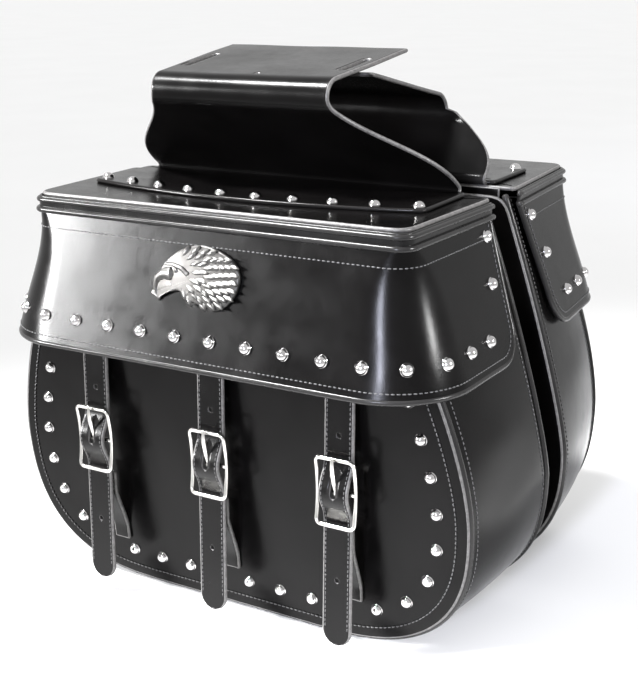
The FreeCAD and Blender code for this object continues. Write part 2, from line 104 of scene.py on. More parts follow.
LID_TOP_Z = LID_HIGH[2]
LID_REAR_Y, LID_FRONT_Y = LID_HIGH[1], LID_LOW[1]
LID_REAR_HALF, LID_FRONT_HALF, LID_CORNER_R = LID_HIGH[0], 145.0, 9.0
LID_BEADS = ((1.6, 5.2, 1.9), (2.2, 12.2, 2.1))     # outward, below the lid's top, radius
BAND_OUT, BAND_DROPS, BAND_THICK, BAND_REAR_IN = 0.6, (2.4, 13.5), 2.0, 3.0
BINDING_R, BINDING_IN = 2.15, 0.7
HEM_Z = SKIRT_LOW[2]
SKIRT_TOP_Z = SKIRT_HIGH[2]
SKIRT_REAR_TOP_Y, SKIRT_REAR_LOW_Y, SKIRT_REAR_R = -26.0, -38.0, 26.0
# flare of the skirt: height, outward on the sides, outward at the front, corner radius
FLARE = np.array([(289.0, 1.5, 1.0, 10.0), (232.0, 20.5, 16.5, 44.0), (205.0, 29.5, 24.5, 52.0),
                  (197.0, 32.0, 27.0, 56.0)])

TAB_HALF, TAB_FRONT_Y, TAB_BOW = TAB_HIGH[0], TAB_LOW[1], 20.0
STRAP_WIDE, STRAP_TIP_Z, STRAP_TIP_Y, STRAP_LEAN = 22.0, 12.0, -149.0, -0.036
STRAP_SEWN_Z = (262.0, 254.0)     # where its sewn end lies on the inside of the skirt
STRAP_BULGE, STRAP_BULGE_HALF = 8.0, 21.0
BUCKLE_Z, BUCKLE_HALF_TALL, BUCKLE_HALF_WIDE, BUCKLE_WIRE_R = 124.0, 23.5, 14.0, 1.45
BUCKLE_END_Y, BUCKLE_BAR_Y, BUCKLE_BAR_R = -150.9, -148.0, 1.6
STRAP_SLOT_LONG, STRAP_SLOT_WIDE, STRAP_SLOT_RISE = 20.0, 4.6, 6.5
STRAP_HOLE_LONG, STRAP_HOLE_WIDE, STRAP_HOLES_Z = 3.62, 3.6, (162.0, 60.0)
CUTTER_HALF, STRAP_CUTTER_Y = 30.0, -150.0
PRONG_EYE_R, PRONG_WIRE_R = 2.7, 0.95
YOKE_BASE_HALF = 128.0
YOKE_CUT_LOW_Z = 374.0
# slots and hole in the left yoke half: middle x and y, length, width, top of the cutter
YOKE_CUTS = [(-62.0, -52.0, 42.0, 7.0, 398.0), (62.0, -52.0, 42.0, 7.0, 398.0), (8.0, -88.0, 5.0, 4.0, 392.0)]
YOKES = {
    "left": {"path": [(-28.0, 301.3), (-16.5, 301.3), (-119.0, 377.5), (6.0, 393.0)], "radii": [2.4, 11.0],
             "crown_z": 370.0, "crown_half": 70.0, "end_half": 74.0},
    "right": {"path": [(-28.0, 301.3), (-16.5, 301.3), (-84.0, 352.5), (32.0, 379.0)], "radii": [2.4, 13.0],
              "crown_z": 356.0, "crown_half": 78.0, "end_half": 66.0},
}


# ---- points and shapes -------------------------------------------------------------------
# A shape is (points, faces, slots): an array of points in mm, lists of corner numbers, and
# the number of the material slot of each face: 0 is the grain side and 1 the raw cut edge.
def unit(v):
    v = np.asarray(v, float)
    return v / np.maximum(np.linalg.norm(v, axis=-1, keepdims=True), 1e-9)


def evenly(points, count, closed=False):
    """Count points at equal steps along a line of points."""
    p = np.asarray(points, float)
    if closed:
        p = np.vstack([p, p[:1]])
    run = np.concatenate([[0], np.cumsum(np.linalg.norm(np.diff(p, axis=0), axis=1))])
    t = np.linspace(0, run[-1], count + 1)[:-1] if closed else np.linspace(0, run[-1], count)
    return np.column_stack([np.interp(t, run, p[:, k]) for k in range(p.shape[1])])


def softened(loop, passes):
    """A closed loop with its corners rounded off."""
    for _ in range(passes):
        loop = loop / 2 + (np.roll(loop, 1, 0) + np.roll(loop, -1, 0)) / 4
    return loop


def softened_line(line, passes):
    for _ in range(passes):
        line = np.vstack([line[:1], line[1:-1] / 2 + (line[:-2] + line[2:]) / 4, line[-1:]])
    return line


def join(shapes):
    points, faces, slots, start = [], [], [], 0
    for p, f, s in shapes:
        points.append(p)
        faces += [[i + start for i in face] for face in f]
        slots += list(s)
        start += len(p)
    return np.vstack(points), faces, slots


def skin(rings, slots_round=None, slots_along=None):
    """Closed rings of points joined into a capped tube. slots_round has a slot for each step
    round a ring, and slots_along for each step between rings."""
    rings = np.asarray(rings, float)
    rows, n = rings.shape[:2]
    faces, slots = [], []
    raw_round, raw_along = slots_round or [0] * n, slots_along or [0] * (rows - 1)
    for i in range(rows - 1):
        for j in range(n):
            a, b = i * n + j, i * n + (j + 1) % n
            faces.append([a, b, b + n, a + n])
            slots.append(max(raw_round[j], raw_along[i]))
    faces += [list(range(n))[::-1], list(range((rows - 1) * n, rows * n))]
    slots += [int(slots_along is not None)] * 2
    return rings.reshape(-1, 3), faces, slots


def normals_of(grid):
    return unit(np.cross(np.gradient(grid, axis=0), np.gradient(grid, axis=1)))


def waves(grid, size):
    """Smooth noise at each point of a grid, with waves about size (x, y, z) mm long."""
    return np.array([[noise.noise(Vector([c / s for c, s in zip(p, size)])) for p in row] for row in grid])


def sheet(grid, thick, raw_start=1):
    """A sheet of leather with rounded cut edges, about the middle surface grid[row][column]."""
    grid = np.array(grid, float)
    r = thick / 2
    along, across = unit(np.gradient(grid, axis=0)), unit(np.gradient(grid, axis=1))
    n = normals_of(grid)
    out_0, out_1 = -across[:, 0], across[:, -1]
    grid[:, 0] -= out_0 * r
    grid[:, -1] -= out_1 * r
    grid[0] += along[0] * r
    grid[-1] -= along[-1] * r
    turns = np.radians([60, 30, 0, -30, -60])

    def ring(p, m, a, b, size):
        rim_b = [p[-1] + (m[-1] * math.sin(t) + b * math.cos(t)) * r * size for t in turns]
        rim_a = [p[0] + (m[0] * math.sin(t) + a * math.cos(t)) * r * size for t in -turns]
        return np.vstack([p + m * r * size, rim_b, (p - m * r * size)[::-1], rim_a])

    rings = [ring(grid[i], n[i], out_0[i], out_1[i], 1.0) for i in range(len(grid))]
    for b in np.radians([30, 60, 84]):
        rings.insert(0, ring(grid[0] - along[0] * r * math.sin(b), n[0], out_0[0], out_1[0], math.cos(b)))
        rings.append(ring(grid[-1] + along[-1] * r * math.sin(b), n[-1], out_0[-1], out_1[-1], math.cos(b)))
    columns, rim = grid.shape[1], len(turns)
    round_slots = [0] * (columns - 1) + [1] * (rim + 1) + [0] * (columns - 1) + [1] * (rim + 1)
    along_slots = [raw_start] * 3 + [0] * (len(grid) - 1) + [1] * 3
    return skin(rings, round_slots, along_slots)


def plate(loop, place, thick, crown=0.0, wave=0.0):
    """A closed plate with a rounded rim. place(xy, h) puts plane points at height h off the middle."""
    r = thick / 2
    ahead = np.roll(loop, -1, 0) - np.roll(loop, 1, 0)
    inward = unit(np.column_stack([-ahead[:, 1], ahead[:, 0]]))
    centre = loop.mean(0)
    if np.sum(inward * (centre - loop)) < 0:
        inward = -inward
    steps = [(r - r * math.cos(a), r * math.sin(a)) for a in np.radians([0, 25, 50, 75])]
    steps += [(d, r) for d in (r, 3.0, 5.0, 8.0)]
    top, bottom = [], []
    for inset, h in steps:
        xy = loop + inward * inset
        lift = crown * (1 - math.exp(-inset / CROWN_REACH))
        top.append(place(xy, h + lift))
        bottom.append(place(xy, lift - h))
    inner, depth = loop + inward * steps[-1][0], np.abs(loop - centre).min(0).max()
    for f in np.concatenate([np.linspace(0.94, 0.1, 15), [0.02]]):
        xy = centre + (inner - centre) * f
        far = steps[-1][0] + (1 - f) * max(depth, 60.0)
        lift = crown * (1 - math.exp(-far / CROWN_REACH))
        fade = min(1.0, (1 - f) * 5)
        ripple = np.array([wave * fade * noise.noise(Vector((x / WAVE_LONG, y / WAVE_LONG, 3.1)))
                           for x, y in xy])
        top.append(place(xy, r + lift + ripple))
        bottom.append(place(xy, lift - r + ripple))
    rings = top[::-1] + bottom[1:]
    edge = [0] * (len(rings) - 1)
    for k in range(len(top) - 5, len(top) + 3):
        edge[k] = 1
    points, faces, slots = skin(rings, None, edge)
    slots[-2:] = [0, 0]
    return points, faces, slots


def tube(path, radius, sides=10, closed=False, up=None, flat=1.0):
    """A round or flattened wire along a path. Radius may be one number or one for each point."""
    path = np.asarray(path, float)
    along = unit(np.roll(path, -1, 0) - np.roll(path, 1, 0)) if closed else unit(np.gradient(path, axis=0))
    radius = np.broadcast_to(np.asarray(radius, float), (len(path),))
    side = np.array(up if up is not None else (0.31, 0.12, 0.94), float)
    a = np.linspace(0, 2 * math.pi, sides, endpoint=False)
    rings = []
    for p, t, r in zip(path, along, radius):
        side = unit(side - t * np.dot(side, t))
        other = np.cross(t, side)
        rings.append(p + r * (np.outer(np.cos(a), side) * flat + np.outer(np.sin(a), other)))
    if not closed:
        rings = [path[0] + (rings[0] - path[0]) * 0.55 - along[0] * radius[0] * 0.45] + rings
        rings.append(path[-1] + (rings[-1] - path[-1]) * 0.55 + along[-1] * radius[-1] * 0.45)
        return skin(rings)
    points, faces, slots = skin(rings + rings[:1])
    last = len(rings) * sides
    faces = [[i - last if i >= last else i for i in f] for f in faces[:-2]]
    return points[:last], faces, slots[:-2]


def turned(profile, spots, sides=20):
    """The same small turned part at every spot: profile (radius, height) runs from apex to base."""
    a = np.linspace(0, 2 * math.pi, sides, endpoint=False)
    shapes = []
    for centre, axis in spots:
        axis = unit(axis)
        x = unit(np.cross(axis, (0.3, 0.9, 0.2)))
        y = np.cross(axis, x)
        ring = np.outer(np.cos(a), x) + np.outer(np.sin(a), y)
        shapes.append(skin([centre + axis * h + ring * r for r, h in profile]))
    return join(shapes)


# one stitch: how far along, how high and how thick, as parts of its pitch and its radius
STITCH = [(-0.40, -0.35, 0.6), (-0.26, 0.20, 1.0), (0.0, 0.38, 1.1), (0.26, 0.20, 1.0), (0.40, -0.35, 0.6)]


def stitches(path, normal, pitch=3.4, radius=0.42):
    """A row of sewn stitches lying on a surface along a path."""
    path, normal = np.asarray(path, float), np.asarray(normal, float)
    run = np.concatenate([[0], np.cumsum(np.linalg.norm(np.diff(path, axis=0), axis=1))])
    count = max(2, int(run[-1] / pitch))
    middles = evenly(path, count)
    t = np.linspace(0, run[-1], count)
    up = unit(np.column_stack([np.interp(t, run, normal[:, k]) for k in range(3)]))
    along = unit(np.gradient(middles, axis=0))
    side = np.cross(up, along)
    angle = np.linspace(0, 2 * math.pi, 6, endpoint=False)
    made = []
    for p, a, u, s in zip(middles[1:-1], along[1:-1], up[1:-1], side[1:-1]):
        rings = []
        for step, rise, size in STITCH:
            middle = p + a * step * pitch * 0.86 + u * rise * radius
            rings.append(middle + radius * size * (np.outer(np.cos(angle), u) + np.outer(np.sin(angle), s)))
        made.append(skin(rings))
    return join(made)


# ---- turning shapes into pieces ------------------------------------------------------------
def add_piece(name, shape, materials, side, sharp=50.0):
    """A mesh object in metres, on the left or mirrored to the right."""
    points, faces, slots = shape
    points = points * [MM, MM * SIDES[side], MM]
    mesh = bpy.data.meshes.new(name)
    mesh.from_pydata(points.tolist(), [], faces)
    for material in materials:
        mesh.materials.append(material)
    mesh.polygons.foreach_set("material_index", np.minimum(slots, len(materials) - 1).astype(np.int32))
    bm = bmesh.new()
    bm.from_mesh(mesh)
    bmesh.ops.remove_doubles(bm, verts=bm.verts, dist=1e-7)
    bmesh.ops.recalc_face_normals(bm, faces=bm.faces)
    bm.to_mesh(mesh)
    bm.free()
    mesh.shade_smooth()
    mesh.set_sharp_from_angle(angle=math.radians(sharp))
    piece = bpy.data.objects.new(name, mesh)
    bpy.context.scene.collection.objects.link(piece)
    return piece


def carve(piece, cutters):
    """Cuts holes through a piece, and removes the cutters."""
    for cutter in cutters:
        cut = piece.modifiers.new("cut", "BOOLEAN")
        cut.operation = "DIFFERENCE"
        cut.solver = "EXACT"
        cut.material_mode = "TRANSFER"
        cut.object = cutter
    bpy.context.view_layer.update()
    solid = piece.evaluated_get(bpy.context.evaluated_depsgraph_get())
    mesh = bpy.data.meshes.new_from_object(solid)
    piece.modifiers.clear()
    piece.data = mesh
    for cutter in cutters:
        bpy.data.objects.remove(cutter)


def put(name, shape, materials, side, body, nodes=(), sharp=50.0):
    """Adds a piece, sets what it rides on and what it stands for."""
    piece = add_piece(side + "_" + name, shape, materials, side, sharp)
    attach(piece, side + "_" + body)
    if nodes:
        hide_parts(*[side + "_" + n for n in nodes])
    return piece


# ---- materials -----------------------------------------------------------------------------
class Nodes:
    """A short way to build a material from nodes."""

    def __init__(self, name):
        self.material = bpy.data.materials.new(name)
        self.material.use_nodes = True
        self.tree = self.material.node_tree
        self.shader = self.tree.nodes["Principled BSDF"]
        self.place = self.add("ShaderNodeTexCoord").outputs["Object"]

    def add(self, kind, **settings):
        node = self.tree.nodes.new(kind)
        for key, value in settings.items():
            setattr(node, key, value)
        return node

    def link(self, a, b):
        self.tree.links.new(a, b)

    def noise(self, scale, detail=4.0, rough=0.55):
        node = self.add("ShaderNodeTexNoise")
        node.inputs["Scale"].default_value = scale
        node.inputs["Detail"].default_value = detail
        node.inputs["Roughness"].default_value = rough
        self.link(self.place, node.inputs["Vector"])
        return node.outputs["Fac"]

    def cells(self, scale):
        node = self.add("ShaderNodeTexVoronoi")
        node.inputs["Scale"].default_value = scale
        self.link(self.place, node.inputs["Vector"])
        return node.outputs["Distance"]

    def ramp(self, value, stops):
        node = self.add("ShaderNodeValToRGB")
        while len(node.color_ramp.elements) < len(stops):
            node.color_ramp.elements.new(0.5)
        for element, (at, colour) in zip(node.color_ramp.elements, stops):
            element.position = at
            element.color = (*colour, 1.0)
        self.link(value, node.inputs["Fac"])
        return node.outputs["Color"]

    def spread(self, value, low, high, start=0.3, end=0.7):
        node = self.add("ShaderNodeMapRange")
        for key, number in zip(("From Min", "From Max", "To Min", "To Max"), (start, end, low, high)):
            node.inputs[key].default_value = number
        self.link(value, node.inputs["Value"])
        return node.outputs["Result"]

    def bump(self, *layers):
        """Layers of (height, strength, distance in metres), each on top of the last."""
        normal = None
        for height, strength, distance in layers:
            node = self.add("ShaderNodeBump")
            node.inputs["Strength"].default_value = strength
            node.inputs["Distance"].default_value = distance
            self.link(height, node.inputs["Height"])
            if normal is not None:
                self.link(normal, node.inputs["Normal"])
            normal = node.outputs["Normal"]
        self.link(normal, self.shader.inputs["Normal"])

    def set(self, **values):
        for key, value in values.items():
            self.shader.inputs[key.replace("_", " ")].default_value = value


def leather(name, dark, light, rough, gloss):
    """Smooth finished black leather: fine pebbled grain, soft creases and rubbed edges."""
    m = Nodes(name)
    tone = m.ramp(m.noise(22.0, 5.0), [(0.30, dark), (0.72, light)])
    rubbed = m.add("ShaderNodeNewGeometry").outputs["Pointiness"]
    mix = m.add("ShaderNodeMix", data_type="RGBA")
    m.link(m.spread(rubbed, 0.0, 0.3, 0.52, 0.58), mix.inputs["Factor"])
    m.link(tone, mix.inputs["A"])
    mix.inputs["B"].default_value = (0.050, 0.048, 0.047, 1.0)
    m.link(mix.outputs["Result"], m.shader.inputs["Base Color"])
    m.link(m.spread(m.noise(45.0, 6.0, 0.62), rough[0], rough[1]), m.shader.inputs["Roughness"])
    m.bump((m.noise(20.0, 1.0), 0.03, 0.0012), (m.noise(300.0, 2.0), 0.06, 0.0003),
           (m.cells(950.0), 0.12, 0.00020))
    m.set(Specular_IOR_Level=gloss)
    return m.material


def cut_edge():
    """The dyed cut edge of leather: fibrous, grey and less shiny."""
    m = Nodes("leather_cut_edge")
    tone = m.ramp(m.noise(420.0, 6.0, 0.7), [(0.3, (0.022, 0.021, 0.021)), (0.75, (0.110, 0.106, 0.104))])
    m.link(tone, m.shader.inputs["Base Color"])
    m.bump((m.noise(900.0, 5.0, 0.7), 0.35, 0.0003))
    m.set(Roughness=0.42)
    return m.material


def metal(name, dark, light, rough, scratch):
    """Plated metal with smudges and fine scratches."""
    m = Nodes(name)
    m.link(m.ramp(m.noise(60.0, 4.0), [(0.25, dark), (0.7, light)]), m.shader.inputs["Base Color"])
    m.link(m.spread(m.noise(160.0, 6.0, 0.65), rough[0], rough[1]), m.shader.inputs["Roughness"])
    m.bump((m.noise(700.0, 4.0), scratch, 0.00012))
    m.set(Metallic=1.0)
    return m.material


def pewter():
    """Cast metal with painted shade: dark in the hollows, and lighter where it stands proud."""
    m = Nodes("emblem_pewter")
    relief_shade_mask = m.add("ShaderNodeNewGeometry").outputs["Pointiness"]
    # painted shade: the colour goes dark in the hollows, mid on the flat and lightest where the metal stands
    # proud
    painted_hollow_shade, level, proud = (0.008, 0.008, 0.007), (0.03, 0.029, 0.028), (0.12, 0.118, 0.115)
    tone = m.ramp(m.spread(relief_shade_mask, 0.0, 1.0, 0.42, 0.58), [(0.0, painted_hollow_shade), (0.45, level), (1.0, proud)])
    m.link(tone, m.shader.inputs["Base Color"])
    m.link(m.spread(m.noise(300.0, 5.0), 0.34, 0.50), m.shader.inputs["Roughness"])
    m.bump((m.noise(800.0, 4.0), 0.25, 0.0002))
    m.set(Metallic=1.0)
    return m.material


def thread():
    """Waxed black nylon thread with a twist."""
    m = Nodes("thread_nylon")
    twist = m.add("ShaderNodeTexWave", bands_direction="DIAGONAL")
    twist.inputs["Scale"].default_value = 900.0
    m.link(m.place, twist.inputs["Vector"])
    m.link(m.ramp(twist.outputs["Fac"], [(0.1, (0.020, 0.020, 0.021)), (0.9, (0.070, 0.069, 0.070))]),
           m.shader.inputs["Base Color"])
    m.bump((twist.outputs["Fac"], 0.4, 0.0002))
    m.set(Roughness=0.45)
    return m.material


LEATHER_LOOK = leather("black_leather", dark=(0.0012, 0.0011, 0.0011), light=(0.0026, 0.0024, 0.0024),
                       rough=(0.17, 0.27), gloss=0.09)
STRAP_LOOK = leather("black_strap_leather", dark=(0.0016, 0.0015, 0.0015), light=(0.0034, 0.0032, 0.0032),
                     rough=(0.18, 0.28), gloss=0.12)
PIPING_LOOK = leather("black_piping_leather", dark=(0.003, 0.0029, 0.0029), light=(0.008, 0.0078, 0.0078),
                      rough=(0.20, 0.30), gloss=0.18)
EDGE_LOOK = cut_edge()
THREAD_LOOK = thread()
STUD_LOOK = metal("stud_chrome", (0.38, 0.37, 0.37), (0.55, 0.54, 0.54), (0.07, 0.16), 0.05)
NICKEL_LOOK = metal("buckle_nickel", (0.42, 0.41, 0.39), (0.60, 0.59, 0.57), (0.12, 0.24), 0.10)
SNAP_LOOK = metal("snap_steel", (0.20, 0.20, 0.20), (0.36, 0.36, 0.35), (0.25, 0.40), 0.15)
PEWTER_LOOK = pewter()
HIDE = [LEATHER_LOOK, EDGE_LOOK]


# ---- the box of the bag ----------------------------------------------------------------------
def front_y(z):
    return FRONT_FLOOR_Y - FRONT_LEAN * z


def half_width(z, panel):
    u = np.clip((z - WIDEST_Z) / (panel["top_z"] - WIDEST_Z), 0, 1)
    return panel["half"] - (panel["half"] - panel["top_half"]) * u ** panel["power"]


def u_path(panel, inset, count):
    """(x, z) points from the top left of a panel, down round the bottom, to its top right."""
    low = WELT_OUT + inset
    a = np.radians(np.linspace(0, 90, 50))
    x = FLAT_HALF + (panel["half"] - inset - FLAT_HALF) * np.sin(a) ** (2 / CORNER_POWER)
    z = low + (WIDEST_Z - low) * (1 - np.cos(a) ** (2 / CORNER_POWER))
    up = np.linspace(WIDEST_Z, panel["top_z"], 30)[1:]
    side = np.column_stack([np.append(x, half_width(up, panel) - inset), np.append(z, up)])
    return evenly(np.vstack([side[::-1] * [-1, 1], side]), count)


def panel_loop(panel):
    return softened(evenly(u_path(panel, 0.0, 260), 300, closed=True), 6)


def front_place(xy, h):
    """Points of the front panel: h is measured outwards from the middle of its thickness."""
    y = front_y(xy[:, 1]) + LEATHER / 2 - h
    return np.column_stack([xy[:, 0], y, xy[:, 1]])


def back_place(xy, h):
    y = np.full(len(xy), BACK_Y - LEATHER / 2) + h
    return np.column_stack([xy[:, 0], y, xy[:, 1]])


def gusset_ends(inset, count):
    """The gusset's edges against the front and back panels."""
    front, back = u_path(FRONT, inset, count), u_path(BACK, inset, count)
    y_front = front_y(front[:, 1]) + LEATHER
    y_back = np.full(count, BACK_Y - LEATHER)
    return (np.column_stack([front[:, 0], y_front, front[:, 1]]),
            np.column_stack([back[:, 0], y_back, back[:, 1]]))


def gusset_grid(count=170, columns=16, bulge=2.6, crease=0.9):
    """The middle surface of the gusset, which bulges and is creased off the floor, and its normals."""
    front, back = gusset_ends(LEATHER / 2, count)
    t = np.linspace(0, 1, columns)[None, :, None]
    grid = front[:, None] * (1 - t) + back[:, None] * t
    n = normals_of(grid)
    if n[count // 2, 0, 2] > 0:
        n = -n
    off_floor = np.clip((grid[:, :, 2:3] - 12) / 40.0, 0.0, 1.0)
    arch = np.sin(math.pi * t)
    lift = arch ** 0.8 * (bulge * off_floor)
    creases = waves(grid, (34, 90, 34))[:, :, None] * arch * crease * off_floor
    return grid + n * (lift + creases), n


def bag_box(side):
    front = plate(panel_loop(FRONT), front_place, LEATHER, crown=0.8, wave=0.7)
    put("front_panel_leather", front, HIDE, side, "bag", ["front_panel"])
    back = plate(panel_loop(BACK), back_place, LEATHER)
    put("back_panel_leather", back, HIDE, side, "bag", ["back_panel"])
    grid, n = gusset_grid()
    put("gusset_leather", sheet(grid, LEATHER), HIDE, side, "bag", ["gusset"])
    rows = [stitches(grid[:, j] + n[:, j] * (LEATHER / 2), n[:, j]) for j in (1, -2)]
    put("gusset_stitches", join(rows), [THREAD_LOOK], side, "bag")
    welts(side)
    path = u_path(FRONT, PANEL_ROW_IN, 260)
    line = front_place(path, LEATHER / 2 + 0.75)
    outward = np.tile(unit([0, -1, -FRONT_LEAN]), (len(line), 1))
    put("front_panel_stitches", stitches(line, outward), [THREAD_LOOK], side, "bag")
    hinge(side)


def welts(side):
    """Piping sewn into both seams of the gusset."""
    path = u_path(FRONT, WELT_IN, 240)
    front = np.column_stack([path[:, 0], front_y(path[:, 1]) + LEATHER + 0.4, path[:, 1]])
    put("front_welt_piping", tube(front, WELT_R, 12), [PIPING_LOOK], side, "bag", ["front_welt"])
    path = u_path(BACK, WELT_IN, 240)
    back = np.column_stack([path[:, 0], np.full(240, BACK_Y - LEATHER - WELT_IN), path[:, 1]])
    put("back_welt_piping", tube(back, WELT_R, 12), [PIPING_LOOK], side, "bag", ["back_welt"])


def hinge(side):
    """The strip that hinges the lid: sewn inside the back panel, and bent up to the lid's rear edge."""
    low, high = box_mm("left_hinge_strip")
    middle = (low[1] + high[1]) / 2
    lid_edge = (LID_REAR_Y + 1.6, LID_TOP_Z - 0.8)
    path = evenly([(middle, low[2]), (middle, high[2] - 2), (middle + 0.1, high[2] + 2), lid_edge], 14)
    x = np.linspace(low[0], high[0], 40)
    grid = np.array([[(a, y, z) for a in x] for y, z in path])
    piece = add_piece(side + "_hinge_leather", sheet(grid, HINGE_THICK), HIDE, side)
    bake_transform(piece)
    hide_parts(side + "_hinge_strip")


# ---- studs -------------------------------------------------------------------------------------
# profile of a stud's dome: radius and height above the leather, from apex to base
STUD = [(0.05, 3.55), (1.1, 3.45), (2.1, 3.1), (2.95, 2.5), (3.6, 1.7), (4.0, 0.85), (4.15, 0.3), (4.4, 0.12),
        (4.55, -0.15), (4.5, -0.6)]


def dome_spots(node):
    """Where the domes of a CAD node stand: base centre in mm and outward direction."""
    bm = bmesh.new()
    bm.from_mesh(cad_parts[node].data)
    bmesh.ops.remove_doubles(bm, verts=bm.verts, dist=1e-6)
    left, spots = set(bm.verts), []
    while left:
        island, edge = set(), [left.pop()]
        while edge:
            v = edge.pop()
            island.add(v)
            near = {e.other_vert(v) for e in v.link_edges} & left
            left -= near
            edge += near
        points = np.array([v.co for v in island]) / MM
        middle = points.mean(0)
        axis = np.linalg.svd(points - middle)[2][2]
        height = (points - middle) @ axis
        across = np.linalg.norm(points - middle - np.outer(height, axis), axis=1)
        if across[height.argmax()] > across[height.argmin()]:
            axis, height = -axis, -height
        spots.append((points[height < height.min() + 0.05].mean(0), axis))
    bm.free()
    return sorted(spots, key=lambda s: tuple(np.round(s[0], 2)))


def studs(name, node, side, body):
    put(name, turned(STUD, dome_spots("left_" + node)), [STUD_LOOK], side, body, [node], 60.0)


# ---- lid -----------------------------------------------------------------------------------------
def lid_half(y, out):
    t = (y - LID_REAR_Y) / (LID_FRONT_Y - LID_REAR_Y)
    return LID_REAR_HALF + (LID_FRONT_HALF - LID_REAR_HALF) * t + out


def lid_line(out_x, out_y, radius, rear_y, z):
    """Points from the left rear of the lid, round its front, to the right rear, at height z."""
    front = LID_FRONT_Y - out_y
    slope = math.atan((LID_REAR_HALF - LID_FRONT_HALF) / (LID_REAR_Y - LID_FRONT_Y))
    turn = math.pi / 2 + slope
    corner = np.array([lid_half(front, out_x), front])
    reach = radius / math.tan(turn / 2) if radius else 0.0
    start = corner + np.array([math.sin(slope), math.cos(slope)]) * reach
    end = corner + np.array([-reach, 0.0])
    centre = end + [0.0, radius]
    a0 = math.atan2(start[1] - centre[1], start[0] - centre[0])
    a1 = math.atan2(end[1] - centre[1], end[0] - centre[0])
    sweep = np.linspace(a0, a1, 18)
    arc = centre + radius * np.column_stack([np.cos(sweep), np.sin(sweep)])
    rear = np.array([lid_half(rear_y, out_x), rear_y])
    side = rear + (start - rear) * np.linspace(0, 1, 22)[:-1, None]
    half = np.vstack([side, arc])
    middle = np.linspace(-1, 1, 50)[1:-1, None] * [end[0], 0.0] + [0.0, end[1]]
    flat = np.vstack([half * [-1, 1], middle, half[::-1]])
    return np.column_stack([flat, np.full(len(flat), z)])


def flare_at(z):
    """Outward flare on the sides and front, and the corner radius, at height z."""
    return [np.polyval(np.polyfit(FLARE[:, 0] - 240, FLARE[:, k], 3), z - 240) for k in (1, 2, 3)]


def skirt_rear_y(z):
    slant = (SKIRT_REAR_TOP_Y - SKIRT_REAR_LOW_Y) * (LID_TOP_Z - z) / (LID_TOP_Z - HEM_Z - SKIRT_REAR_R)
    drop = HEM_Z + SKIRT_REAR_R - z
    if drop <= 0:
        return SKIRT_REAR_TOP_Y - slant
    return SKIRT_REAR_LOW_Y - SKIRT_REAR_R + math.sqrt(max(SKIRT_REAR_R ** 2 - drop ** 2, 0.0))


def skirt_grid():
    """The middle surface of the skirt, from its rear edge on the left round to the right, and its normals."""
    turn = np.radians(np.linspace(0, 90, 12))
    levels = np.concatenate([np.linspace(SKIRT_TOP_Z, HEM_Z + SKIRT_REAR_R, 16),
                             HEM_Z + SKIRT_REAR_R * (1 - np.sin(turn[1:]))])
    lines = []
    for z in levels:
        out_x, out_y, radius = [value - LEATHER / 2 for value in flare_at(z)]
        lines.append(lid_line(out_x, out_y, radius, skirt_rear_y(z), z))
    grid = np.array(lines).transpose(1, 0, 2)
    n = normals_of(grid)
    if n[len(grid) // 2, 5, 1] > 0:
        n = -n
    return grid, n


def skirt(side):
    grid, n = skirt_grid()
    put("lid_skirt_leather", sheet(grid, LEATHER), HIDE, side, "lid", ["lid_skirt"])
    rim = np.vstack([grid[0], grid[1:-1, -1], grid[-1, ::-1]])
    out = np.vstack([n[0], n[1:-1, -1], n[-1, ::-1]])
    along = unit(np.gradient(rim, axis=0))
    inward = unit(np.cross(out, along))
    if np.dot(inward[len(rim) // 2], (0, 0, 1)) < 0:
        inward = -inward
    binding = tube(rim + inward * BINDING_IN, BINDING_R, 10)
    put("lid_hem_binding", binding, [PIPING_LOOK], side, "lid")
    hem_row = stitches(rim + inward * HEM_ROW_IN + out * (LEATHER / 2), out)
    upper, upper_out = grid[2:-2, 3], n[2:-2, 3]
    rows = [hem_row, stitches(upper + upper_out * (LEATHER / 2), upper_out)]
    put("lid_skirt_stitches", join(rows), [THREAD_LOOK], side, "lid")


def lid_top(side):
    loop = lid_line(0.0, 0.0, LID_CORNER_R, LID_REAR_Y, 0.0)[:, :2]
    loop = softened(evenly(loop, 260, closed=True), 4)
    middle = LID_TOP_Z - LEATHER / 2
    cover = plate(loop, lambda xy, h: np.column_stack([xy, np.zeros(len(xy)) + middle + h]), LEATHER)
    put("lid_top_leather", cover, HIDE, side, "lid", ["lid_top"])
    beads = []
    rear_y = LID_REAR_Y - BAND_REAR_IN
    for out, drop, r in LID_BEADS:
        beads.append(tube(lid_line(out, out, LID_CORNER_R + out, rear_y, LID_TOP_Z - drop), r, 12))
    levels = np.linspace(LID_TOP_Z - BAND_DROPS[0], LID_TOP_Z - BAND_DROPS[1], 6)
    wall = [lid_line(BAND_OUT, BAND_OUT, LID_CORNER_R + BAND_OUT, rear_y, z) for z in levels]
    beads.append(sheet(np.array(wall).transpose(1, 0, 2), BAND_THICK))
    put("lid_band_piping", join(beads), [PIPING_LOOK], side, "lid", ["lid_band"])


# ---- yoke ------------------------------------------------------------------------------------------
def rounded_path(corners, radii, count):
    """Points (y, z) along straight runs joined by arcs."""
    corners = [np.array(c, float) for c in corners]
    points = [corners[0]]
    for before, at, after, r in zip(corners, corners[1:], corners[2:], radii):
        u, w = unit(at - before), unit(after - at)
        turn = math.acos(np.clip(np.dot(u, w), -1, 1))
        start = at - u * r * math.tan(turn / 2)
        across = unit(w - u * np.dot(u, w))
        for t in np.linspace(0, turn, 16):
            points.append(start + across * r + (u * math.sin(t) - across * math.cos(t)) * r)
    points.append(corners[-1])
    return evenly(points, count)


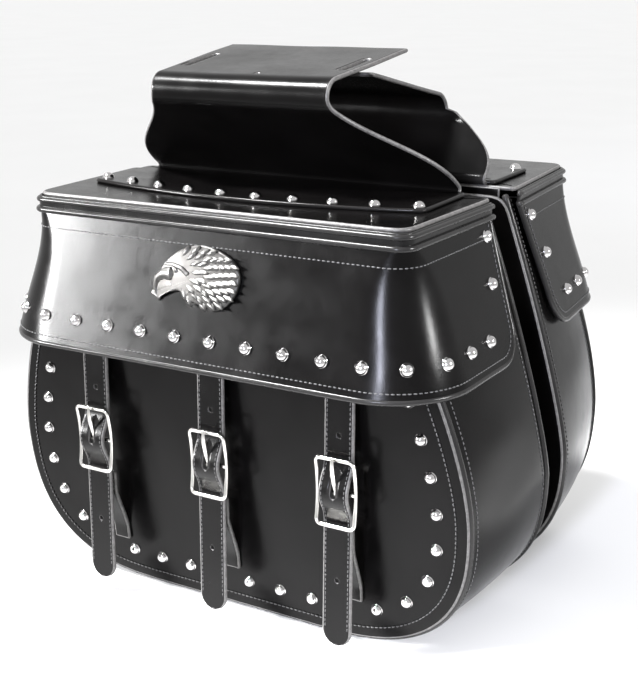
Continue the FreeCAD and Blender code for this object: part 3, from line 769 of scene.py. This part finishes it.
def yoke_grid(shape):
    """The middle surface of a yoke half: wide at the lid, narrow over its crown, and a little wavy."""
    path = rounded_path(shape["path"], shape["radii"], 90)
    crown = int(np.argmin(path[:, 0]))
    narrow, rows = shape["crown_half"], []
    for i, (y, z) in enumerate(path):
        if i > crown:
            half = narrow + (shape["end_half"] - narrow) * (i - crown) / (len(path) - 1 - crown)
        else:
            u = np.clip((z - LID_TOP_Z - 5.0) / (shape["crown_z"] - LID_TOP_Z - 5.0), 0, 1)
            fall = ((1 - math.cos(math.pi * u)) / 2) ** 1.25
            half = YOKE_BASE_HALF - (YOKE_BASE_HALF - narrow) * fall
        rows.append([(x * half, y, z) for x in np.linspace(-1, 1, 48)])
    grid = np.array(rows)
    off_lid = np.clip((grid[:, :, 2] - LID_TOP_Z - 8) / 30, 0, 1)
    return grid + normals_of(grid) * (waves(grid, (60, 60, 60)) * off_lid * 0.8)[:, :, None]


def pill(x, y, long, wide, z0, z1):
    """A tall prism with round ends, long along Y, that cuts a slot."""
    a = np.radians(np.linspace(0, 180, 12))
    straight = (long - wide) / 2
    end = np.column_stack([np.cos(a) * wide / 2, straight + np.sin(a) * wide / 2])
    loop = np.vstack([end, -end]) + [x, y]
    return skin([np.column_stack([loop, np.full(len(loop), z)]) for z in (z0, z1)])


def yoke(side):
    shape = YOKES[side]
    piece = add_piece(side + "_yoke_arch_leather", sheet(yoke_grid(shape), LEATHER, raw_start=0), HIDE, side)
    if side == "left":
        holes = [pill(x, y, long, wide, YOKE_CUT_LOW_Z, top) for x, y, long, wide, top in YOKE_CUTS]
        carve(piece, [add_piece("cutter", h, [EDGE_LOOK], side) for h in holes])
    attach(piece, side + "_bag")
    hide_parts(side + "_yoke_arch")
    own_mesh(piece)
    yoke_tab(side)


def yoke_tab(side):
    x = np.linspace(TAB_HALF, -TAB_HALF, 60)
    bow = np.column_stack([x, TAB_FRONT_Y + TAB_BOW * (x / TAB_HALF) ** 2])
    loop = np.vstack([[(-TAB_HALF, TAB_HIGH[1]), (TAB_HALF, TAB_HIGH[1])], bow])
    loop = softened(evenly(loop, 240, closed=True), 5)
    middle = LID_TOP_Z + LEATHER / 2
    tab = plate(loop, lambda xy, h: np.column_stack([xy, np.zeros(len(xy)) + middle + h]), LEATHER)
    put("yoke_tab_leather", tab, [LEATHER_LOOK], side, "lid", ["yoke_tab"])


# ---- straps and buckles ------------------------------------------------------------------------------
def strap_x(place):
    low, high = box_mm("left_" + place + "_strap")
    return (low[0] + high[0]) / 2


def strap_y(z):
    return STRAP_TIP_Y - STRAP_LEAN * (z - STRAP_TIP_Z)


def strap_line(count):
    """(y, z) along the middle of a strap, from its sewn end inside the skirt to its tip."""
    points = [(LID_FRONT_Y - flare_at(z)[1] + LEATHER * 1.5 + 0.7, z) for z in STRAP_SEWN_Z]
    for z in np.linspace(HEM_Z - 2, STRAP_TIP_Z, 70):
        u = (z - BUCKLE_Z) / STRAP_BULGE_HALF
        rise = STRAP_BULGE * math.cos(math.pi * u / 2) ** 2 if abs(u) < 1 else 0.0
        points.append((strap_y(z) - rise, z))
    return softened_line(evenly(points, count), 3)


def strap_half_width(z):
    r = STRAP_WIDE / 2
    drop = STRAP_TIP_Z + r - z
    return r if drop <= 0 else math.sqrt(max(r * r - drop * drop, 0.6))


def strap_cutter(x, z, long, wide):
    """A prism along Y, with its long side upright, that cuts a slot or hole in a strap."""
    points, faces, slots = pill(0.0, 0.0, long, wide, -CUTTER_HALF, CUTTER_HALF)
    points = np.column_stack([points[:, 0] + x, points[:, 2] + STRAP_CUTTER_Y, points[:, 1] + z])
    return points, faces, slots


def strap(side, place, x):
    """A strap with its slot and holes. It bends where it leaves the skirt's hem."""
    path = strap_line(120)
    grid = np.array([[(x + strap_half_width(z) * t, y, z) for t in np.linspace(-1, 1, 11)] for y, z in path])
    name = side + "_" + place + "_strap"
    piece = add_piece(name + "_leather", sheet(grid, LEATHER), [STRAP_LOOK, EDGE_LOOK], side)
    cutters = [strap_cutter(x, BUCKLE_Z + STRAP_SLOT_RISE, STRAP_SLOT_LONG, STRAP_SLOT_WIDE)]
    cutters += [strap_cutter(x, z, STRAP_HOLE_LONG, STRAP_HOLE_WIDE) for z in STRAP_HOLES_Z]
    carve(piece, [add_piece("cutter", c, [EDGE_LOOK], side) for c in cutters])
    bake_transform(piece)
    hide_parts(name, side + "_strap_tabs")
    strap_stitches(side, place, x, path, grid)


def strap_stitches(side, place, x, path, grid):
    n = normals_of(grid)
    if n[40, 5, 1] > 0:
        n = -n
    sewn = [k for k in range(len(path)) if HEM_Z - 8 > path[k, 1] > STRAP_TIP_Z + 9]
    rows = []
    for t in (-1, 1):
        line = np.array([(x + t * (STRAP_WIDE / 2 - STRAP_ROW_IN), *path[k]) for k in sewn])
        rows.append(stitches(line + n[sewn, 5] * (LEATHER / 2), n[sewn, 5], 3.2, 0.34))
    put(place + "_strap_stitches", join(rows), [THREAD_LOOK], side, place + "_strap")


def repaint(node, look):
    """Gives a CAD node that stays in view its material."""
    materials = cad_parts[node].data.materials
    materials.clear()
    materials.append(look)


def buckle(side, place, x):
    """A bowed rectangular frame with a centre bar."""
    corner, w, h = 3.5, BUCKLE_HALF_WIDE, BUCKLE_HALF_TALL
    loop = []
    for sx, sz, start in ((1, 1, 0), (-1, 1, 90), (-1, -1, 180), (1, -1, 270)):
        for a in np.radians(np.linspace(start, start + 90, 7)):
            loop.append((sx * (w - corner) + corner * math.cos(a), sz * (h - corner) + corner * math.sin(a)))
    loop = evenly(loop, 120, closed=True)
    bow = BUCKLE_END_Y + (BUCKLE_BAR_Y - BUCKLE_END_Y) * (1 - (loop[:, 1] / h) ** 2)
    ring = np.column_stack([loop[:, 0] + x, bow, loop[:, 1] + BUCKLE_Z])
    bar = [(x + t, BUCKLE_BAR_Y, BUCKLE_Z) for t in np.linspace(-w, w, 9)]
    shape = join([tube(ring, BUCKLE_WIRE_R, 12, closed=True, up=(0, 1, 0)), tube(bar, BUCKLE_BAR_R, 12)])
    put(place + "_buckle_frame", shape, [NICKEL_LOOK], side, place + "_strap",
        [place + "_buckle"], 60.0)


def prong(side, place, x):
    """A buckle's prong: an eye round the centre bar, and a blade that rests on the frame's top."""
    a = np.linspace(0, 2 * math.pi, 20, endpoint=False)
    eye_y, eye_z = BUCKLE_BAR_Y + PRONG_EYE_R * np.cos(a), BUCKLE_Z + PRONG_EYE_R * np.sin(a)
    eye = tube(np.column_stack([np.full(20, x), eye_y, eye_z]), PRONG_WIRE_R, 8, closed=True,
               up=(1, 0, 0), flat=1.5)
    rest, top = BUCKLE_END_Y - 3.3, BUCKLE_Z + BUCKLE_HALF_TALL + 2.5
    line = evenly([(x, BUCKLE_BAR_Y - 2.4, BUCKLE_Z + 0.5), (x, rest + 0.2, top - 9),
                   (x, rest, top - 4), (x, rest + 0.3, top)], 20)
    radius = np.interp(np.linspace(0, 1, 20), [0, 0.15, 0.7, 1.0], [1.2, 1.7, 1.6, 1.0])
    blade = tube(line, radius, 12, up=(0, 1, 0), flat=0.62)
    put(place + "_buckle_prong", join([eye, blade]), [NICKEL_LOOK], side, place + "_prong",
        [place + "_prong"], 60.0)


def billets(side):
    """The tongues sewn to the front panel that carry the lower snap halves. Each lies on the
    panel at its foot, and stands off it at its head to meet the strap."""
    low, high = box_mm("left_billets")
    centres = [strap_x(place) for place in PLACES]
    half_wide = high[0] - centres[-1]
    head_y = low[1] + LEATHER / 2 + 0.1
    path = evenly([(front_y(34) - 1.7, low[2] + 0.2), (front_y(46) - 1.7, 46.0), (front_y(56) - 4.0, 56.0),
                   (head_y + 2.2, 72.0), (head_y + 0.4, 78.0), (head_y, high[2])], 24)
    shapes = []
    for x in centres:
        grid = np.array([[(x + half_wide * t, y, z) for t in np.linspace(-1, 1, 7)] for y, z in path])
        shapes.append(sheet(grid, LEATHER))
    put("billets_leather", join(shapes), [STRAP_LOOK, EDGE_LOOK], side, "bag", ["billets"])
    repaint(side + "_snap_bases", SNAP_LOOK)


# ---- emblem ---------------------------------------------------------------------------------------------
# The emblem is drawn flat, in mm from its middle, with X backwards, Y up and Z out of the skirt.
HEAD = [(-33, -5), (-32, -13), (-29, -19), (-26, -14), (-20, -12), (-12, -11), (-7, -16), (4, -18), (14, -21),
        (24, -17), (31, -8), (33, 3), (28, 12), (17, 18), (3, 21), (-9, 19), (-19, 14), (-27, 6)]


def smooth_loop(points, count):
    """A closed curve through a few points."""
    p = np.array(points, float)
    out = []
    for i in range(len(p)):
        a, b, c, d = p[i - 1], p[i], p[(i + 1) % len(p)], p[(i + 2) % len(p)]
        slope, bend, twist = c - a, 2 * a - 5 * b + 4 * c - d, 3 * b - a - 3 * c + d
        for t in np.linspace(0, 1, 12, endpoint=False):
            out.append(0.5 * (2 * b + slope * t + bend * t ** 2 + twist * t ** 3))
    return evenly(out, count, closed=True)


def inside(point, loop):
    x, y = point
    x0, y0 = loop[:, 0], loop[:, 1]
    x1, y1 = np.roll(x0, -1), np.roll(y0, -1)
    crosses = (y0 > y) != (y1 > y)
    at = x0 + (y - y0) / np.where(y1 == y0, 1e-9, y1 - y0) * (x1 - x0)
    return np.count_nonzero(crosses & (x < at)) % 2 == 1


def feather(root, angle, length, wide, height):
    """A lens-shaped feather with a raised quill, in the emblem's plane (x, up, out)."""
    t = np.linspace(0, 1, 9)
    half = wide / 2 * np.sin(math.pi * np.clip(t, 0.03, 0.97) ** 0.7) ** 0.8
    d, s = np.array([math.cos(angle), math.sin(angle)]), np.array([-math.sin(angle), math.cos(angle)])
    rows = []
    for k, w in zip(t, half):
        middle = np.array(root) + d * length * k
        top = height + 0.9 * k
        section = [(-1, top - 0.7), (-0.5, top + 0.1), (0, top + 0.5), (0.5, top + 0.1), (1, top - 0.7),
                   (0, top - 1.6)]
        rows.append([(*(middle + s * w * a), h) for a, h in section])
    return skin(rows)


def dome(x, y):
    """How far the head's middle swells over its rim, from 0 to 1."""
    return np.clip(1 - (x / 40) ** 2 - (y / 26) ** 2, 0, 1)


def feathers(loop):
    """Rings of feathers round the face, as far as they lie inside the head's outline."""
    shapes, face = [], np.array([-15.0, 1.0])
    for ring, radius in enumerate(np.arange(44.0, 9.0, -4.6)):
        count = max(5, int(radius * 2.7 / 4.4))
        for k in range(count):
            angle = -1.25 + 2.75 * (k + 0.5 * (ring % 2)) / count
            root = face + radius * np.array([math.cos(angle), math.sin(angle)])
            tip = root + 7.0 * np.array([math.cos(angle), math.sin(angle) * 0.8])
            if inside(root, loop) and inside(tip, loop * 1.02):
                height = 2.6 + 2.2 * dome(root[0], root[1])
                shapes.append(feather(root, angle * 0.85 - 0.08, 9.0, 4.6, height))
    return shapes


def face_parts():
    """Beak, lower jaw, brow and eye."""
    beak = np.array([(-20, 0, 3.2), (-26, -0.5, 3.6), (-31, -4, 3.2), (-32.3, -10, 2.6), (-29.6, -16, 2.0)])
    jaw = np.array([(-19, -7, 2.6), (-24, -8.6, 2.6), (-28, -10, 2.2)])
    brow = np.array([(-25, 6, 4.2), (-19, 6.2, 5.2), (-11, 4.4, 5.2), (-6, 1.0, 4.4)])
    eye = [(0.05, 1.6), (1.0, 1.3), (1.7, 0.6), (1.9, -1.5)]
    return [tube(evenly(beak, 16), np.linspace(5.0, 0.7, 16), 12, up=(0, 0, 1), flat=0.7),
            tube(evenly(jaw, 10), np.linspace(2.6, 0.8, 10), 10, up=(0, 0, 1), flat=0.7),
            tube(evenly(brow, 14), np.linspace(1.0, 1.7, 14), 10),
            turned(eye, [(np.array([-15.5, 2.2, 3.9]), (0, 0, 1))], 16)]


def emblem(side):
    """A raptor's head in relief, facing the front of the motorcycle."""
    loop = smooth_loop(HEAD, 150)

    def flat(xy, h):
        swell = 2.6 * dome(xy[:, 0], xy[:, 1])
        return np.column_stack([xy, np.where(h > 0, swell, 0) + h + 1.2])

    points, faces, slots = join([plate(loop, flat, 2.4)] + feathers(loop) + face_parts())
    low, high = box_mm("left_emblem")
    z = (low[2] + high[2]) / 2
    rate = (flare_at(z - 1)[1] - flare_at(z + 1)[1]) / 2
    out = unit([0, -1, rate])
    up = unit(np.cross(out, [1, 0, 0]))
    base = np.array([0.0, LID_FRONT_Y - flare_at(z)[1], z])
    points = base + points[:, :1] * [1.0, 0, 0] + points[:, 1:2] * up + (points[:, 2:3] - 0.2) * out
    put("emblem_relief", (points, faces, slots), [PEWTER_LOOK], side, "lid", ["emblem"], 40.0)


# ---- everything on one side -----------------------------------------------------------------------------
def build_side(side):
    bag_box(side)
    studs("panel_stud_domes", "panel_studs", side, "bag")
    billets(side)
    lid_top(side)
    skirt(side)
    studs("lid_stud_domes", "lid_studs", side, "lid")
    studs("yoke_rivet_domes", "lid_rivets", side, "lid")
    emblem(side)
    yoke(side)
    for place in PLACES:
        x = strap_x(place)
        strap(side, place, x)
        buckle(side, place, x)
        prong(side, place, x)
        repaint(side + "_" + place + "_snap_cap", SNAP_LOOK)


# ---- stage, in metres -------------------------------------------------------------------------------------
FLOOR_FAR, FLOOR_DROP, SOFTBOX_FAR = 90.0, 0.0002, 2.4
CAMERA_TARGET, CAMERA_FAR = Vector((0.00255, 0.0, 0.175)), 0.9315
CAMERA_AZIMUTH, CAMERA_ELEVATION, CAMERA_ROLL = 30.0, 17.0, -0.6     # degrees
CAMERA_LENS, CAMERA_SENSOR = 64.07, 36.0                             # mm


def floor():
    mesh = bpy.data.meshes.new("studio_floor")
    far, z = FLOOR_FAR, CAD_BOX[0][2] - FLOOR_DROP
    mesh.from_pydata([(-far, -far, z), (far, -far, z), (far, far, z), (-far, far, z)], [], [(0, 1, 2, 3)])
    m = Nodes("studio_floor_paint")
    m.link(m.ramp(m.noise(3.0, 3.0), [(0.3, (0.91, 0.91, 0.91)), (0.7, (0.93, 0.93, 0.93))]),
           m.shader.inputs["Base Color"])
    m.set(Roughness=0.7, Specular_IOR_Level=0.2)
    mesh.materials.append(m.material)
    plane = bpy.data.objects.new("studio_floor", mesh)
    bpy.context.scene.collection.objects.link(plane)


def direction(azimuth, elevation):
    """The unit vector towards an azimuth, from -Y towards +X, and an elevation, both in degrees."""
    a, e = math.radians(azimuth), math.radians(elevation)
    return Vector((math.sin(a) * math.cos(e), -math.cos(a) * math.cos(e), math.sin(e)))


def softbox(name, azimuth, elevation, aim, wide, tall, glow, grid, colour=(1.0, 1.0, 1.0)):
    """A softbox with a honeycomb grid. Glow is its brightness seen head on, and grid the full
    angle of its beam in degrees."""
    half, back = math.radians(grid / 2), direction(azimuth, elevation)
    light = bpy.data.lights.new(name, "AREA")
    light.shape = "RECTANGLE"
    light.size, light.size_y = wide, tall
    light.spread = 2 * half
    light.energy = glow * math.pi * wide * tall * (1 - half / math.tan(half))
    light.color = colour
    lamp = bpy.data.objects.new(name, light)
    lamp.location = Vector(aim) + back * SOFTBOX_FAR
    lamp.rotation_euler = back.to_track_quat("Z", "Y").to_euler()
    bpy.context.scene.collection.objects.link(lamp)


def lights():
    softbox("key_left", -49.0, 11.5, (-0.12, -0.15, 0.25), wide=0.40, tall=0.42, glow=850.0, grid=16.0)
    softbox("strip_front", 6.0, 15.0, (0.14, -0.15, 0.24), wide=0.20, tall=0.60, glow=420.0, grid=16.0,
            colour=(0.82, 0.85, 1.0))
    softbox("strip_right", 96.0, 19.0, (0.17, -0.14, 0.26), wide=0.40, tall=0.50, glow=480.0, grid=12.0)
    softbox("top_left", -58.0, 56.0, (0.0, -0.12, 0.37), wide=0.60, tall=0.40, glow=620.0, grid=24.0)
    world = bpy.data.worlds.new("studio_world")
    world.use_nodes = True
    background = world.node_tree.nodes["Background"]
    background.inputs["Color"].default_value = (1.0, 1.0, 1.0, 1.0)
    background.inputs["Strength"].default_value = 1.0
    bpy.context.scene.world = world
    bpy.context.scene.view_settings.view_transform = "Standard"


def camera():
    """The photograph's camera: a short telephoto, a little under a metre away."""
    roll, back = math.radians(CAMERA_ROLL), direction(CAMERA_AZIMUTH, CAMERA_ELEVATION)
    right = (-back).cross(Vector((0, 0, 1))).normalized()
    up = right.cross(-back)
    turned_right = right * math.cos(roll) + up * math.sin(roll)
    turned_up = up * math.cos(roll) - right * math.sin(roll)
    data = bpy.data.cameras.new("photo_camera")
    data.lens, data.sensor_width = CAMERA_LENS, CAMERA_SENSOR
    data.clip_start, data.clip_end = 0.01, 300.0
    obj = bpy.data.objects.new("photo_camera", data)
    turn = Matrix((turned_right, turned_up, back)).transposed().to_4x4()
    obj.matrix_world = Matrix.Translation(CAMERA_TARGET + back * CAMERA_FAR) @ turn
    bpy.context.scene.collection.objects.link(obj)
    bpy.context.scene.camera = obj


for name in SIDES:
    build_side(name)
floor()
lights()
camera()
